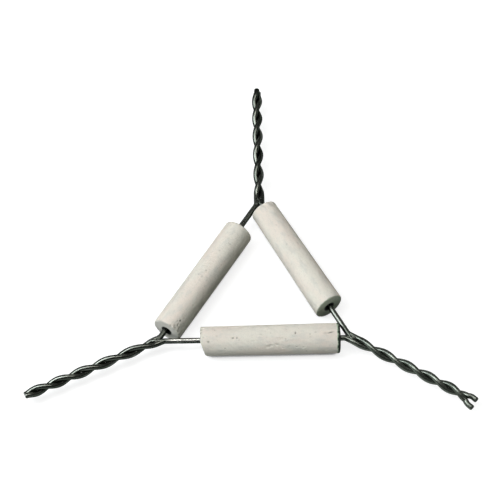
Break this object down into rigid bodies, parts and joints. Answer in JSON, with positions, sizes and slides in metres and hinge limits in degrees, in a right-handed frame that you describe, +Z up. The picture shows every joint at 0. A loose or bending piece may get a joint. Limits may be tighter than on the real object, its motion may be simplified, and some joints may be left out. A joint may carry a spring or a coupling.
{
  "type": "pipe clay triangle",
  "caption": "Flat triangle of clay tubes threaded on iron wires, which are twisted into an arm at each corner; holds a crucible over a burner.",
  "frame": {"origin": "middle of the triangle that the wires' side lines make, on the surface that the clay tubes lie on", "axes": "+Z up, the front side runs along X within about a degree, and the back corner points to +Y"},
  "size_m": [0.1636, 0.1431, 0.0112],
  "materials": {
    "pipe_clay": "matte",
    "iron_wire": "satin"
  },
  "bodies": {
    "wire_frame": {"wire_front": "iron_wire", "wire_right": "iron_wire", "wire_left": "iron_wire"},
    "tube_front": {"clay_tube_front": "pipe_clay"},
    "tube_right": {"clay_tube_right": "pipe_clay"},
    "tube_left": {"clay_tube_left": "pipe_clay"}
  },
  "joints": [
    {"name": "front_tube_turn", "type": "hinge", "parent": "wire_frame", "child": "tube_front", "pos_m": [-0.02039, -0.02124, 0.0056], "axis": [0.9996, 0.0278, 0], "continuous": true},
    {"name": "right_tube_turn", "type": "hinge", "parent": "wire_frame", "child": "tube_right", "pos_m": [0.02736, -0.00692, 0.0056], "axis": [-0.4903, 0.8715, 0], "continuous": true},
    {"name": "left_tube_turn", "type": "hinge", "parent": "wire_frame", "child": "tube_left", "pos_m": [-0.00636, 0.02663, 0.0056], "axis": [-0.52, -0.8542, 0], "continuous": true}
  ]
}
